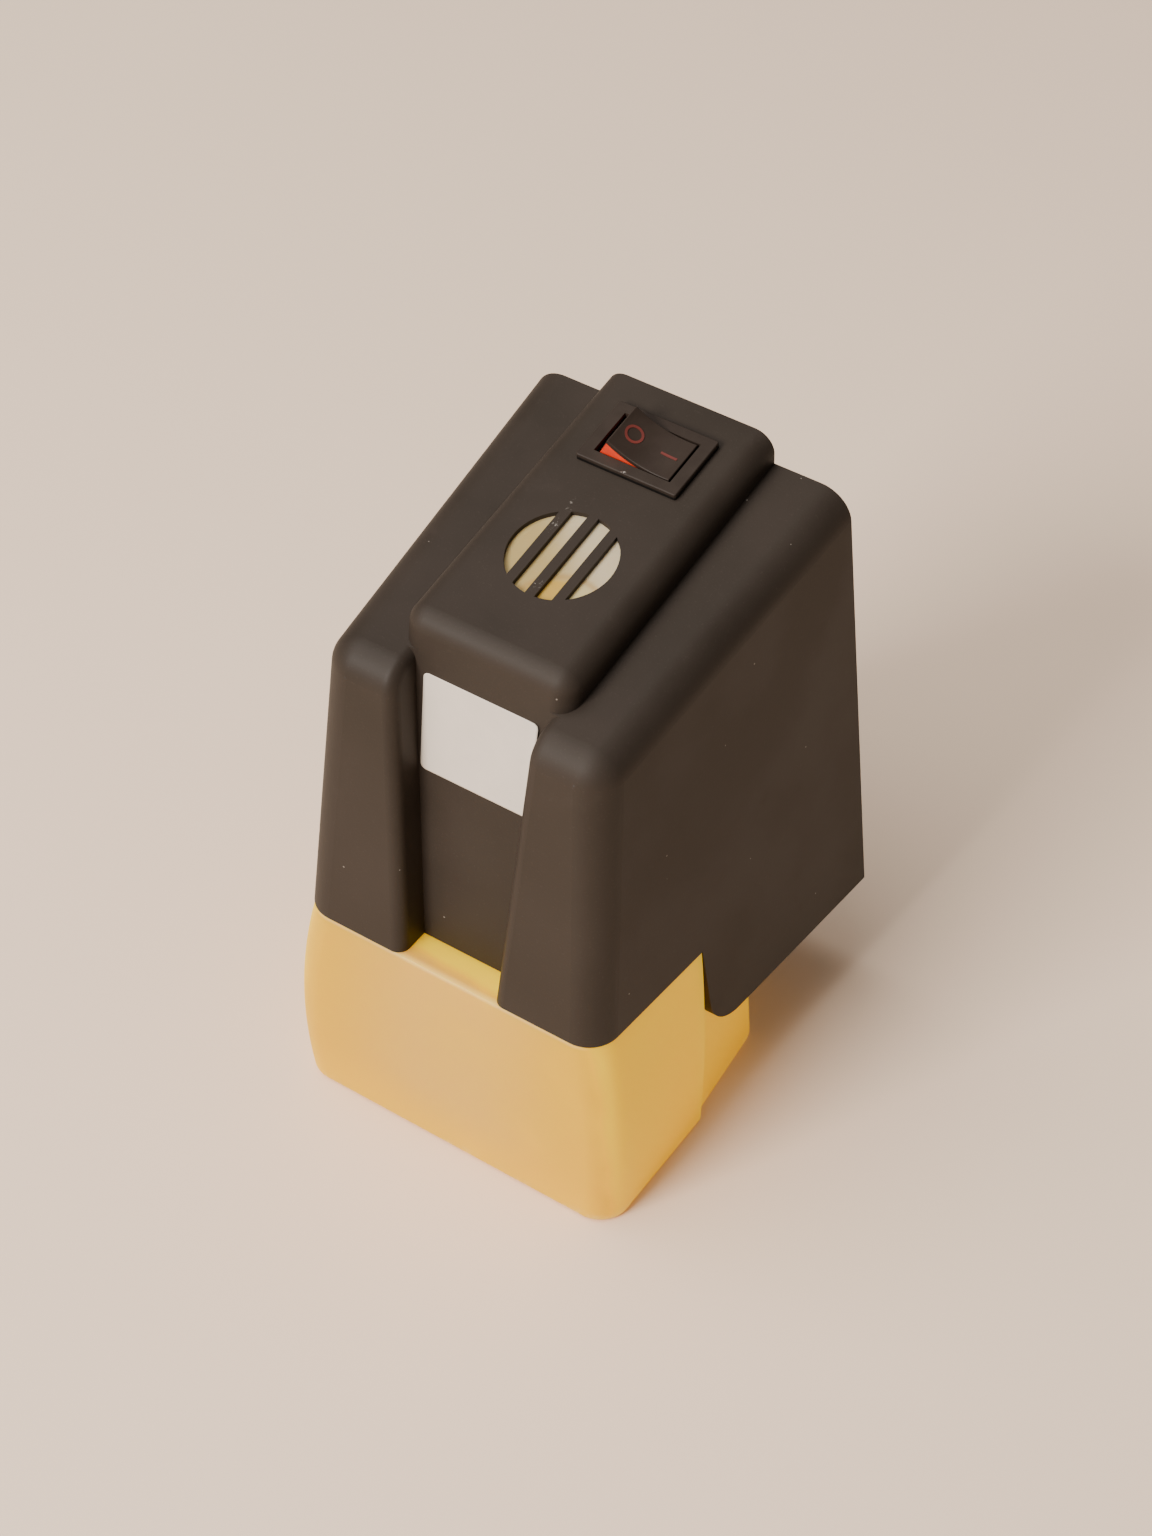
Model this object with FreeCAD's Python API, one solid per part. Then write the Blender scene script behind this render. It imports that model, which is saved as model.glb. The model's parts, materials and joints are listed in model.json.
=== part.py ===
"""Circuit breaker finder: a hooded hand receiver that stands on its translucent base.

Millimetres. X is to the right, Y to the back, Z up; the floor is Z = 0 and the
origin is the middle of the footprint. The front of the hood faces -Y.
"""
import FreeCAD, Part
import math
import os

V = FreeCAD.Vector
os.makedirs("parts", exist_ok=True)

# ---- driving dimensions -------------------------------------------------
# Hood outside
hood_depth = 87.1            # front face to back plane, at the ledge
front_width = 67.8           # across the front face, at the ledge
plan_taper = 3.74            # each side opens towards the back, degrees
side_draft = 3.71            # side walls lean inwards going up, degrees
front_draft = 6.0            # front face leans back going up, degrees
back_draft = 3.3             # back plane leans forward going up, degrees
base_height = 50.0           # floor to the ledge where hood and base meet
flap_drop = 24.6             # how far the rear side flaps hang below the ledge
flap_setback = 32.6          # front face to the flap's front edge
flap_lean = 2.9              # the flap's front edge runs back by this much on its way down
ridge_top = 133.9            # top of the raised ridge at the back plane
ridge_slope = 9.4            # degrees, down towards the front
ridge_width = 36.2
ridge_rise = 6.6             # ridge above the shoulders, at the back plane
shoulder_slope = 9.8         # degrees
hood_wall = 2.4
# Hood rounds
outer_radius = 6.6           # upright front corners, shoulders and brow alike
ridge_radius = 4.2           # along the ridge and over its nose
flap_radius = 9.0            # lower front corner of each flap
# Front channel between the two columns
channel_depth = 7.2
channel_width = 20.6         # at the ledge
channel_flare = 3.71         # each wall opens going up, degrees
column_radius = 2.5

# Base
base_wall = 2.2
base_floor = 2.4
base_foot_width = 74.4       # across the front part at the floor
base_belly_width = 74.8      # across the front part at its belly
base_belly_height = 28.0
base_belly_out = 1.3         # the belly stands in front of the ledge's front edge
base_foot_out = 0.4          # and so does the foot
base_corner = 6.5
base_step = 0.5              # the rear part starts narrower than the front part, each side
base_rear_taper = 3.1        # its sides close in by this much towards the rear
battery_bay = 26.7           # rear wall of the base to the hood's back plane
base_rear_corner = 6.0
base_reveal = 0.3            # the front part ends this far in front of the flaps
base_lap = 6.0               # run of the rear part into the front part
foot_round = 1.6             # along the foot's edge
neck_height = 6.0            # the base's collar inside the hood
neck_wall = 2.0

# Clearances
seat_gap = 0.15              # between moulded parts that plug together
slide_gap = 0.25             # around parts that slide
pin_gap = 0.05               # radial, round a hinge pin

# Rocker switch: snap-in, 21 x 15 bezel
bezel_length = 21.5
bezel_width = 15.0
bezel_height = 1.4
bezel_corner = 0.5
bezel_edge = 0.25
switch_length = 19.0
switch_width = 12.9
switch_depth = 13.0
switch_position = 14.5       # down the ridge from the back edge to the switch's middle
window_length = 16.4
window_width = 10.4
rocker_width = 9.8
rocker_end = 6.7             # hinge line to the rocker's top end
rocker_end_height = 3.45     # above the ridge, with the rocker level
rocker_dish = 1.3            # how far the middle of its top lies below its ends
rocker_skirt = 7.5           # hinge line to the rocker's end at hinge height
rocker_keel = 3.6            # below the hinge line
rocker_cap_thickness = 0.9
rocker_cap_edge = 0.2
nose_radius = 1.6
nose_length = 1.5
hinge_depth = 1.2            # hinge line below the ridge surface
hinge_pin_radius = 1.0
rocker_tilt = 16.0           # to each side of level, degrees
switch_floor = 1.5
wing_width = 6.0             # snap wings that hold the switch under the ridge's wall
wing_reach = 0.9
wing_foot = 8.0              # bezel's underside to the wing's lower end
pin_end_gap = 0.2            # beyond each end of the hinge pin
keel_share = 0.72            # the keel's foot, as a share of the rocker's top
terminal_width = 4.8
terminal_blade = 0.8
terminal_reach = 8.0         # below the switch body
terminal_root = 0.9          # up inside the switch's floor
terminal_eye = 0.8           # radius of the hole in each blade
terminal_eye_drop = 5.5
lever_height = 3.6           # lever's pivot above the switch body's underside
lever_length = 12.8
lever_width = 3.6
lever_thickness = 0.6
lever_pivot_radius = 0.9
contact_radius = 0.9
contact_thickness = 0.5
fulcrum_width = 2.0
mark_height = 0.12
ring_radius = 1.85
mark_width = 0.5
mark_place = 0.56            # share of the way from the middle to each end
bar_length = 3.3

# Grille and sounder
grille_position = 42.6       # down the ridge from the back edge to its middle
grille_radius = 10.4
grille_bars = 3
grille_bar_width = 2.0
grille_skin = 1.0            # wall left at the grille
grille_seat_radius = 14.2    # round recess behind the grille
diffuser_thickness = 1.2
diffuser_margin = 2.0
sounder_radius = 8.6
sounder_height = 7.0
sounder_ring_wall = 1.4
sounder_skirt = 0.6          # cup beyond the sounder
sounder_drop = 1.0           # sounder under the diffuser
sounder_wall = 1.0
sounder_lid = 1.2
sounder_hole = 1.6
disc_thickness = 0.3
disc_step = 2.0              # the ceramic's edge inside the brass's

# Label
label_width = 25.0
label_height = 22.0
label_top = 61.8             # above the ledge, measured straight up
label_thickness = 0.25
label_corner = 1.2

# Back cover and battery door
cover_thickness = 3.2
shelf_thickness = 2.4
door_width = 34.0            # across its tongues
door_height = 56.0
door_thickness = 1.6
door_tongue = 1.2            # how far each tongue reaches under the cover's lip
door_grooves = 4
door_groove_radius = 0.9
door_groove_bite = 0.4       # depth of each finger groove
door_groove_level = 8.0      # lowest groove above the door's lower edge
door_groove_pitch = 3.2
door_groove_share = 0.6      # of the face's width
hatch_play = 0.9             # round the battery where it passes the cover
hatch_sill = 0.6             # hatch above the shelf
hatch_overlap = 3.0          # door above the hatch
cover_screw_radius = 1.5
cover_screw_head = 2.8
cover_screw_length = 11.0
cover_screw_levels = (14.0, 82.0)   # above the flap's bottom edge, along the back plane
cover_boss_radius = 4.0
cover_boss_merge = 0.3       # how far each boss runs into the side wall
cover_screw_play = 0.2       # round a screw in the cover
cover_slot_reach = 1.9       # half the length of the cross slots
cover_slot_width = 0.8
cover_slot_depth = 1.0

# Battery, 9 V block
battery_width = 26.5
battery_depth = 17.5
battery_length = 46.4
battery_round = 2.0
terminal_spacing = 12.7
terminal_height = 2.1
terminal_radii = (2.8, 3.6)  # male and female
terminal_play = 0.1
battery_play = 0.4           # between the battery and the back cover
snap_length = 25.4
snap_width = 12.6
snap_thickness = 4.2
snap_round = 3.0

# Circuit board
board_width = 46.0
board_height = 62.0
board_thickness = 1.6
board_setback = 20.0         # front of the hood to the front of the board
board_lift = 17.0            # above the floor
board_boss_spacing = 18.0
board_boss_drop = 7.0        # board's top edge to the boss's middle
board_boss_radius = 3.0
board_screw_radius = 1.25
board_screw_length = 7.0
board_screw_head = 2.4
board_screw_head_height = 1.6
board_screw_head_round = 0.6
board_screw_slot = (3.2, 0.6, 0.7)     # length, width, depth
board_hole_play = 0.15
guide_height = 10.0          # above the board's lower edge
guide_width = 5.0
guide_cheek = 2.0            # thickness of each cheek
guide_bite = 0.2             # how far the board's edge stands clear inside its slot
led_radius = 2.5
led_length = 8.0
led_spacing = 24.0
led_level = 14.0             # above the board's lower edge
led_flange = 0.4             # flange beyond the lamp's body
led_flange_thickness = 1.0

# Controller chip, 14 legs at the standard 2.54 pitch
chip_width = 10.0
chip_length = 18.0
chip_thickness = 3.3
chip_stand = 0.5             # body clear of the board
chip_level = 30.0            # middle above the board's lower edge
leg_pitch = 2.54
leg_count = 7                # on each side
leg_width = 0.8
leg_reach = 1.2
leg_height = 2.0

# Capacitors on the board's back: across, above its lower edge, radius, height
capacitor_places = ((14.0, 26.0, 3.2, 8.0), (14.0, 40.0, 2.5, 7.0), (-14.0, 34.0, 2.5, 7.0))
capacitor_round = 0.5

# Pickup coil
rod_radius = 4.0
rod_length = 50.0
coil_radius = 6.5
coil_length = 20.0
rod_setback = 11.5           # front of the hood to the rod's middle
rod_height = 14.0
cradle_spacing = 38.0
cradle_width = 4.0
cradle_cheek = 1.8
cradle_rise = 2.2            # above the rod's middle
cradle_mouth = 0.85          # the mouth's width, as a share of the rod's
coil_flange = 1.2            # flange beyond the winding
coil_flange_thickness = 1.0

# ---- places worked out from those ---------------------------------------
y_front = -(hood_depth - base_belly_out) / 2
y_back = y_front + hood_depth
z_ledge = base_height
z_flap = base_height - flap_drop
shoulder_top = ridge_top - ridge_rise
base_rear_depth = hood_depth - battery_bay
far = 3 * hood_depth         # past the whole object, for the tools that trim it


def tan(angle):
    """Tangent of an angle in degrees."""
    return math.tan(math.radians(angle))


def front_y(z, inset=0.0):
    """Where the front face is at height z."""
    return y_front + (z - z_ledge) * tan(front_draft) + inset


def back_y(z, inset=0.0):
    """Where the back plane is at height z."""
    return y_back - (z - z_flap) * tan(back_draft) - inset


def side_x(y, z, inset=0.0):
    """Half the hood's width at depth y and height z."""
    return (front_width / 2 + (y - y_front) * tan(plan_taper)
            - (z - z_ledge) * tan(side_draft) - inset)


y_ridge_back = back_y(ridge_top)
ridge_frame = FreeCAD.Placement(V(0, y_ridge_back, ridge_top),
                                FreeCAD.Rotation(V(1, 0, 0), ridge_slope))


def ridge_place(down, up=0.0):
    """Frame on the ridge's top, 'down' along its slope; local Z is its normal."""
    return ridge_frame.multiply(FreeCAD.Placement(V(0, -down, up), FreeCAD.Rotation()))


def put(shape, place):
    """Move a shape, keeping what it already had."""
    shape.Placement = place.multiply(shape.Placement)
    return shape


def save(name, shape):
    """Write one sub-part."""
    shape.exportStep("parts/" + name + ".step")


def prism(points, direction):
    """Solid from a flat outline pushed along a vector."""
    outline = Part.makePolygon(points + [points[0]])
    return Part.Face(outline).extrude(direction)


def loft(sections, ruled=False):
    """Closed solid through outlines."""
    return Part.makeLoft(sections, True, ruled)


def block(x0, x1, y0, y1, z0, z1):
    """Plain box between limits."""
    return Part.makeBox(x1 - x0, y1 - y0, z1 - z0, V(x0, y0, z0))


def rounded_plate(length, width, height, radius):
    """Plate centred on the origin with rounded upright corners, base at Z = 0."""
    plate = block(-length / 2, length / 2, -width / 2, width / 2, 0, height)
    upright = [e for e in plate.Edges if abs(e.tangentAt(e.FirstParameter).z) > 0.9]
    return plate.makeFillet(radius, upright)


def edges_through(shape, points, reach=0.05):
    """Edges that pass through the given points."""
    found = []
    for point in points:
        spot = Part.Vertex(point)
        near = min(shape.Edges, key=lambda e: e.distToShape(spot)[0])
        if near.distToShape(spot)[0] < reach and not any(near.isSame(f) for f in found):
            found.append(near)
    return found


# ---- hood ---------------------------------------------------------------
def side_walls(inset, z_low, z_high):
    """Solid between the two drafted, tapered side planes."""
    y_low = y_front - hood_depth / 3
    y_high = y_back + hood_depth / 3
    rings = []
    for z in (z_low, z_high):
        corners = [V(-side_x(y_low, z, inset), y_low, z), V(side_x(y_low, z, inset), y_low, z),
                   V(side_x(y_high, z, inset), y_high, z), V(-side_x(y_high, z, inset), y_high, z)]
        rings.append(Part.makePolygon(corners + [corners[0]]))
    return loft(rings, True)


def shoulder_z(y, inset=0.0):
    """Height of the shoulders at depth y."""
    return (shoulder_top - (back_y(shoulder_top) - y) * tan(shoulder_slope)
            - inset / math.cos(math.radians(shoulder_slope)))


def ridge_z(y, inset=0.0):
    """Height of the ridge at depth y."""
    return (ridge_top - (y_ridge_back - y) * tan(ridge_slope)
            - inset / math.cos(math.radians(ridge_slope)))


def brow_corner(inset):
    """Point in the YZ plane where the shoulders meet the front face."""
    y = y_front
    for _ in range(20):
        y = front_y(shoulder_z(y, inset), inset)
    return V(0, y, shoulder_z(y, inset))


def nose_corner(inset):
    """Point in the YZ plane where the ridge meets the channel floor."""
    y = y_front
    for _ in range(20):
        y = front_y(ridge_z(y, inset), channel_depth + inset)
    return V(0, y, ridge_z(y, inset))


def shoulder_block(inset, back_inset, z_low):
    """The hood's main form, without flaps: front, sides, shoulders and their rounds."""
    brow = brow_corner(inset)
    y_rear = back_y(z_low, back_inset)
    y_top = back_y(shoulder_top, back_inset)
    profile = [V(0, front_y(z_low, inset), z_low), V(0, y_rear, z_low),
               V(0, y_top, shoulder_z(y_top, inset)), brow]
    half = front_width
    body = prism([p + V(-half, 0, 0) for p in profile], V(2 * half, 0, 0))
    body = body.common(side_walls(inset, z_low - 1, ridge_top + 5))
    middle_y = (brow.y + y_top) / 2
    z_middle = (z_low + brow.z) / 2
    uprights = []
    tops = []
    for side in (-1, 1):
        y_up = front_y(z_middle, inset)
        uprights.append(V(side * side_x(y_up, z_middle, inset), y_up, z_middle))
        z_top = shoulder_z(middle_y, inset)
        tops.append(V(side * side_x(middle_y, z_top, inset), middle_y, z_top))
    return body.makeFillet(outer_radius - inset, edges_through(body, tops + uprights + [brow]))


def ridge_block(inset, back_inset, z_low):
    """The raised ridge with its rounded nose; its front is the channel floor."""
    nose = nose_corner(inset)
    y_top = back_y(ridge_top, back_inset)
    profile = [V(0, front_y(z_low, channel_depth + inset), z_low), V(0, back_y(z_low, back_inset), z_low),
               V(0, y_top, ridge_z(y_top, inset)), nose]
    half = ridge_width / 2 - inset
    body = prism([p + V(-half, 0, 0) for p in profile], V(2 * half, 0, 0))
    z_middle = (z_low + nose.z) / 2
    y_middle = (nose.y + y_top) / 2
    y_up = front_y(z_middle, channel_depth + inset)
    along = [V(s * half, y_middle, ridge_z(y_middle, inset)) for s in (-1, 1)]
    uprights = [V(s * half, y_up, z_middle) for s in (-1, 1)]
    return body.makeFillet(ridge_radius - inset, edges_through(body, along + uprights + [nose]))


def channel_half(z, inset=0.0):
    """Half the channel's width at height z; a positive inset widens it into the columns."""
    return channel_width / 2 + (z - z_ledge) * tan(channel_flare) + inset


def channel_cutter(inset):
    """The space between the columns, from below the ledge to above the shoulders."""
    rings = []
    for z in (z_ledge - flap_drop - 1, ridge_top):
        half = channel_half(z, inset)
        y_floor = front_y(z, channel_depth + inset)
        y_mouth = front_y(z) - channel_width
        corners = [V(-half, y_mouth, z), V(half, y_mouth, z), V(half, y_floor, z), V(-half, y_floor, z)]
        rings.append(Part.makePolygon(corners + [corners[0]]))
    return loft(rings, True)


def column_form(inset, back_inset, z_low):
    """The hood's form without its ridge: two columns, side walls and shoulders."""
    return shoulder_block(inset, back_inset, z_low).cut(channel_cutter(inset))


def hood_form(inset, back_inset, z_low):
    """Outside (inset 0) or inside of the hood as one solid."""
    ridge_low = shoulder_z(y_front) - hood_depth / 3
    ridge = ridge_block(inset, back_inset, ridge_low)
    return column_form(inset, back_inset, z_low).fuse(ridge).removeSplitter()


def flap_trim():
    """What is cut away below the ledge in front of the flaps."""
    y_top = y_front + flap_setback
    y_low = y_top + flap_lean * z_ledge / flap_drop
    profile = [V(0, -far, 0), V(0, y_low, 0), V(0, y_top, z_ledge), V(0, -far, z_ledge)]
    return prism([p + V(-front_width, 0, 0) for p in profile], V(2 * front_width, 0, 0))


def column_edges(body):
    """Edges where the columns' fronts meet the channel walls."""
    z = z_ledge + channel_width / 2
    return edges_through(body, [V(s * channel_half(z), front_y(z), z) for s in (-1, 1)])


def make_hood():
    """The black hood: a shell open at the back and below."""
    outside = hood_form(0.0, 0.0, z_flap)
    outside = outside.makeFillet(column_radius, column_edges(outside))
    outside = outside.cut(flap_trim())
    low = [V(s * side_x(y_front + flap_setback + flap_lean, z_flap), y_front + flap_setback + flap_lean, z_flap)
           for s in (-1, 1)]
    inside = hood_form(hood_wall, -1.0, z_flap - 1)
    hood = outside.cut(inside)
    corners = []
    for e in hood.Edges:
        middle = e.valueAt((e.FirstParameter + e.LastParameter) / 2)
        if abs(middle.z - z_flap) < 0.01 and abs(middle.y - low[0].y) < 0.5:
            corners.append(e)
    hood = hood.makeFillet(flap_radius, corners)
    hood = hood.fuse(cover_bosses()).fuse(board_bosses())
    hood = hood.cut(grille_cutter()).cut(switch_cutout())
    return hood.removeSplitter()


def switch_cutout():
    """Rectangular hole in the ridge for the rocker switch."""
    length = switch_length + 2 * seat_gap
    width = switch_width + 2 * seat_gap
    hole = block(-length / 2, length / 2, -width / 2, width / 2, -2 * ridge_rise, ridge_rise)
    put(hole, ridge_place(switch_position))
    return hole


def grille_cutter():
    """Round opening crossed by bars that run down the slope."""
    opening = Part.makeCylinder(grille_radius, 2 * hood_wall, V(0, 0, -hood_wall))
    pitch = 2 * grille_radius / (grille_bars + 1)
    for i in range(grille_bars):
        x = pitch * (i + 1) - grille_radius
        bar = block(x - grille_bar_width / 2, x + grille_bar_width / 2, -grille_radius - 1,
                    grille_radius + 1, -grille_skin, 2 * hood_wall)
        opening = opening.cut(bar)
    opening = opening.fuse(Part.makeCylinder(grille_seat_radius, hood_wall, V(0, 0, -grille_skin - hood_wall)))
    put(opening, ridge_place(grille_position))
    return opening


# ---- base ---------------------------------------------------------------
def base_ring(z, half_front, half_step, y_face, y_end, radius):
    """Outline of the front part: rounded front corners, straight sides to y_end."""
    bulge = radius * (1 - math.sqrt(0.5))
    a = V(-half_step, y_end, z)
    b = V(-half_front, y_face + radius, z)
    c = V(-half_front + radius, y_face, z)
    mid_l = V(-half_front + bulge, y_face + bulge, z)
    d = V(half_front - radius, y_face, z)
    mid_r = V(half_front - bulge, y_face + bulge, z)
    e = V(half_front, y_face + radius, z)
    f = V(half_step, y_end, z)
    edges = [Part.makeLine(a, b), Part.Arc(b, mid_l, c).toShape(), Part.makeLine(c, d),
             Part.Arc(d, mid_r, e).toShape(), Part.makeLine(e, f), Part.makeLine(f, a)]
    return Part.Wire(edges)


y_step = y_front + flap_setback - base_reveal


def base_front(inset, z_low, z_high):
    """Front part of the base: full width, bellied, front corners rounded."""
    half_ledge = front_width / 2
    half_foot = base_foot_width / 2
    half_belly = base_belly_width / 2
    levels = [(0.0, half_foot, half_foot, -base_foot_out),
              (base_belly_height, half_belly, half_belly, -base_belly_out),
              (z_ledge, half_ledge, side_x(y_step, z_ledge), 0.0)]
    rings = [base_ring(z, front - inset, step - inset, y_front + out + inset, y_step, base_corner - inset)
             for z, front, step, out in levels]
    return loft(rings).common(block(-far, far, -far, far, z_low, z_high))


def base_rear(inset, half_low, half_high, z_low, z_high):
    """Narrower rear part between two heights, closing in towards a rounded rear wall."""
    y_rear = y_front + base_rear_depth - inset
    y_start = y_step - base_lap
    rings = []
    for z, half in ((z_low, half_low - inset), (z_high, half_high - inset)):
        half_end = half - base_rear_taper
        corners = [V(-half, y_start, z), V(half, y_start, z), V(half_end, y_rear, z), V(-half_end, y_rear, z)]
        rings.append(Part.makePolygon(corners + [corners[0]]))
    body = loft(rings, True)
    z_middle = (z_low + z_high) / 2
    x_middle = (half_low + half_high) / 2 - inset - base_rear_taper
    corners = edges_through(body, [V(s * x_middle, y_rear, z_middle) for s in (-1, 1)])
    return body.makeFillet(base_rear_corner - inset, corners)


def round_foot(body, y_open):
    """Body with its underside's edges rounded, apart from the one that lies at y_open."""
    edges = []
    for edge in body.Edges:
        box = edge.BoundBox
        across = abs(box.YMin - y_open) < 0.01 and abs(box.YMax - y_open) < 0.01
        if box.ZMax < 0.01 and not across:
            edges.append(edge)
    return body.makeFillet(foot_round, edges)


def make_base():
    """Translucent base: a shell with a collar that plugs into the hood."""
    z_neck = z_ledge + neck_height
    half_foot = base_foot_width / 2 - base_step
    half_tucked = side_x(y_step - base_lap, z_neck) - hood_wall - seat_gap
    outside = round_foot(base_front(0.0, 0.0, z_ledge), y_step)
    outside = outside.fuse(round_foot(base_rear(0.0, half_foot, half_tucked, 0.0, z_neck), y_step - base_lap))
    rim = hood_wall + seat_gap
    neck = column_form(rim, 0.0, z_ledge - 1).common(block(-far, far, -far, y_step + 1, z_ledge - 0.5, z_neck))
    outside = outside.fuse(neck)
    hollow = base_front(base_wall, base_floor, z_ledge - base_wall)
    lean = (half_foot - half_tucked) / z_neck
    half_low = half_foot - lean * base_floor
    half_high = half_tucked - lean
    hollow = hollow.fuse(base_rear(base_wall, half_low, half_high, base_floor, z_neck + 1))
    throat = column_form(rim + neck_wall, 0.0, z_ledge - 5)
    throat = throat.common(block(-far, far, -far, y_step + 1, z_ledge - 4, z_neck + 1))
    return outside.cut(hollow.fuse(throat)).removeSplitter()


# ---- back cover, door and battery ---------------------------------------
back_frame = FreeCAD.Placement(V(0, y_back, z_flap), FreeCAD.Rotation(V(1, 0, 0), back_draft))


def back_place(up=0.0, out=0.0):
    """Frame on the back plane: local Z climbs the plane and local Y points out of it."""
    return back_frame.multiply(FreeCAD.Placement(V(0, out, up), FreeCAD.Rotation()))


def cover_screw_spots():
    """Places of the cover screws on the back plane: (x, up) pairs."""
    spots = []
    for up in cover_screw_levels:
        z = z_flap + up
        reach = side_x(back_y(z), z, hood_wall) - cover_boss_radius + cover_boss_merge
        spots += [(-reach, up), (reach, up)]
    return spots


def cover_bosses():
    """Bosses on the hood's side walls that take the cover screws."""
    bosses = None
    for x, up in cover_screw_spots():
        boss = Part.makeCylinder(cover_boss_radius, cover_screw_length, V(x, 0, 0), V(0, -1, 0))
        boss = boss.cut(Part.makeCylinder(cover_screw_radius, cover_screw_length + 1, V(x, 0, 0), V(0, -1, 0)))
        put(boss, back_place(up, -cover_thickness - seat_gap))
        bosses = boss if bosses is None else bosses.fuse(boss)
    return bosses


def board_bosses():
    """Bosses behind the channel wall that carry the top of the circuit board."""
    y_board = y_front + board_setback
    z = board_lift + board_height - board_boss_drop
    y_wall = front_y(z, channel_depth + hood_wall) - hood_wall / 2
    bosses = None
    for side in (-1, 1):
        x = side * board_boss_spacing / 2
        boss = Part.makeCylinder(board_boss_radius, y_board - y_wall, V(x, y_wall, z), V(0, 1, 0))
        bore = Part.makeCylinder(board_screw_radius, board_screw_length, V(x, y_board, z), V(0, -1, 0))
        boss = boss.cut(bore)
        bosses = boss if bosses is None else bosses.fuse(boss)
    return bosses


def make_back_cover():
    """Plate that closes the hood's back, with a shelf that closes it below."""
    rim = hood_wall + seat_gap
    inner = hood_form(rim, 0.0, z_flap)
    slab = block(-far, far, -cover_thickness, 1, -1, far)
    put(slab, back_place())
    plate = inner.common(slab)
    y_base = y_front + base_rear_depth + seat_gap
    shelf = inner.common(block(-far, far, y_base, y_back, z_flap, z_flap + shelf_thickness))
    cover = plate.fuse(shelf)
    tongue_room = door_width + 2 * slide_gap
    lip_room = door_width - 2 * door_tongue + 2 * slide_gap
    half = door_thickness / 2
    opening = block(-tongue_room / 2, tongue_room / 2, -door_thickness - slide_gap, -half + slide_gap,
                    -1, door_height + slide_gap)
    opening = opening.fuse(block(-lip_room / 2, lip_room / 2, -door_thickness, 1,
                                 -1, door_height + slide_gap))
    hatch = battery_width / 2 + hatch_play
    opening = opening.fuse(block(-hatch, hatch, -cover_thickness - 1, 0,
                                 shelf_thickness + hatch_sill, door_height - hatch_overlap))
    put(opening, back_place())
    cover = cover.cut(opening)
    for x, up in cover_screw_spots():
        bore = cover_screw_radius + cover_screw_play
        sink_depth = cover_screw_head - cover_screw_radius
        hole = Part.makeCylinder(bore, 4 * cover_thickness, V(x, -2 * cover_thickness, 0), V(0, 1, 0))
        sink = Part.makeCone(bore, cover_screw_head + cover_screw_play, sink_depth,
                             V(x, -sink_depth, 0), V(0, 1, 0))
        hole = hole.fuse(sink)
        put(hole, back_place(up))
        cover = cover.cut(hole)
    return cover.removeSplitter()


def make_door():
    """Battery door: tongues down both sides and finger grooves near its lower end."""
    half = door_thickness / 2
    tongue = block(-door_width / 2, door_width / 2, -door_thickness, -half, 0, door_height)
    face_half = door_width / 2 - door_tongue
    door = tongue.fuse(block(-face_half, face_half, -half, 0, 0, door_height))
    for i in range(door_grooves):
        reach = face_half * door_groove_share
        spot = V(-reach, door_groove_radius - door_groove_bite, door_groove_level + door_groove_pitch * i)
        door = door.cut(Part.makeCylinder(door_groove_radius, 2 * reach, spot, V(1, 0, 0)))
    put(door, back_place())
    return door.removeSplitter()


def make_cover_screws():
    """Countersunk screws through the cover into the hood's bosses."""
    head_height = cover_screw_head - cover_screw_radius
    screws = []
    for x, up in cover_screw_spots():
        shank = Part.makeCylinder(cover_screw_radius - pin_gap, cover_screw_length + 1,
                                  V(x, -cover_screw_play, 0), V(0, -1, 0))
        head = Part.makeCone(cover_screw_radius, cover_screw_head, head_height,
                             V(x, -head_height - cover_screw_play, 0), V(0, 1, 0))
        screw = shank.fuse(head)
        for turn in (0, 90):
            slot = block(-cover_slot_reach, cover_slot_reach, -cover_slot_depth, 1,
                         -cover_slot_width / 2, cover_slot_width / 2)
            slot.rotate(V(0, 0, 0), V(0, 1, 0), turn)
            slot.translate(V(x, 0, 0))
            screw = screw.cut(slot)
        put(screw, back_place(up))
        screws.append(screw.removeSplitter())
    return Part.makeCompound(screws)


battery_out = -cover_thickness - battery_play - battery_depth / 2
battery_foot = shelf_thickness - (battery_out - battery_depth / 2) * tan(back_draft) + seat_gap


def make_battery():
    """Nine-volt block battery standing on the shelf."""
    cell = rounded_plate(battery_width, battery_depth, battery_length, battery_round)
    for side, radius in zip((-1, 1), terminal_radii):
        cell = cell.fuse(Part.makeCylinder(radius, terminal_height,
                                           V(side * terminal_spacing / 2, 0, battery_length)))
    put(cell, back_place(battery_foot, battery_out))
    return cell


def make_battery_snap():
    """Snap connector on the battery's terminals."""
    cap = rounded_plate(snap_length, snap_width, snap_thickness, snap_round)
    for side, radius in zip((-1, 1), terminal_radii):
        cap = cap.cut(Part.makeCylinder(radius + terminal_play, terminal_height + terminal_play,
                                        V(side * terminal_spacing / 2, 0, 0)))
    put(cap, back_place(battery_foot + battery_length, battery_out))
    return cap


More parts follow.
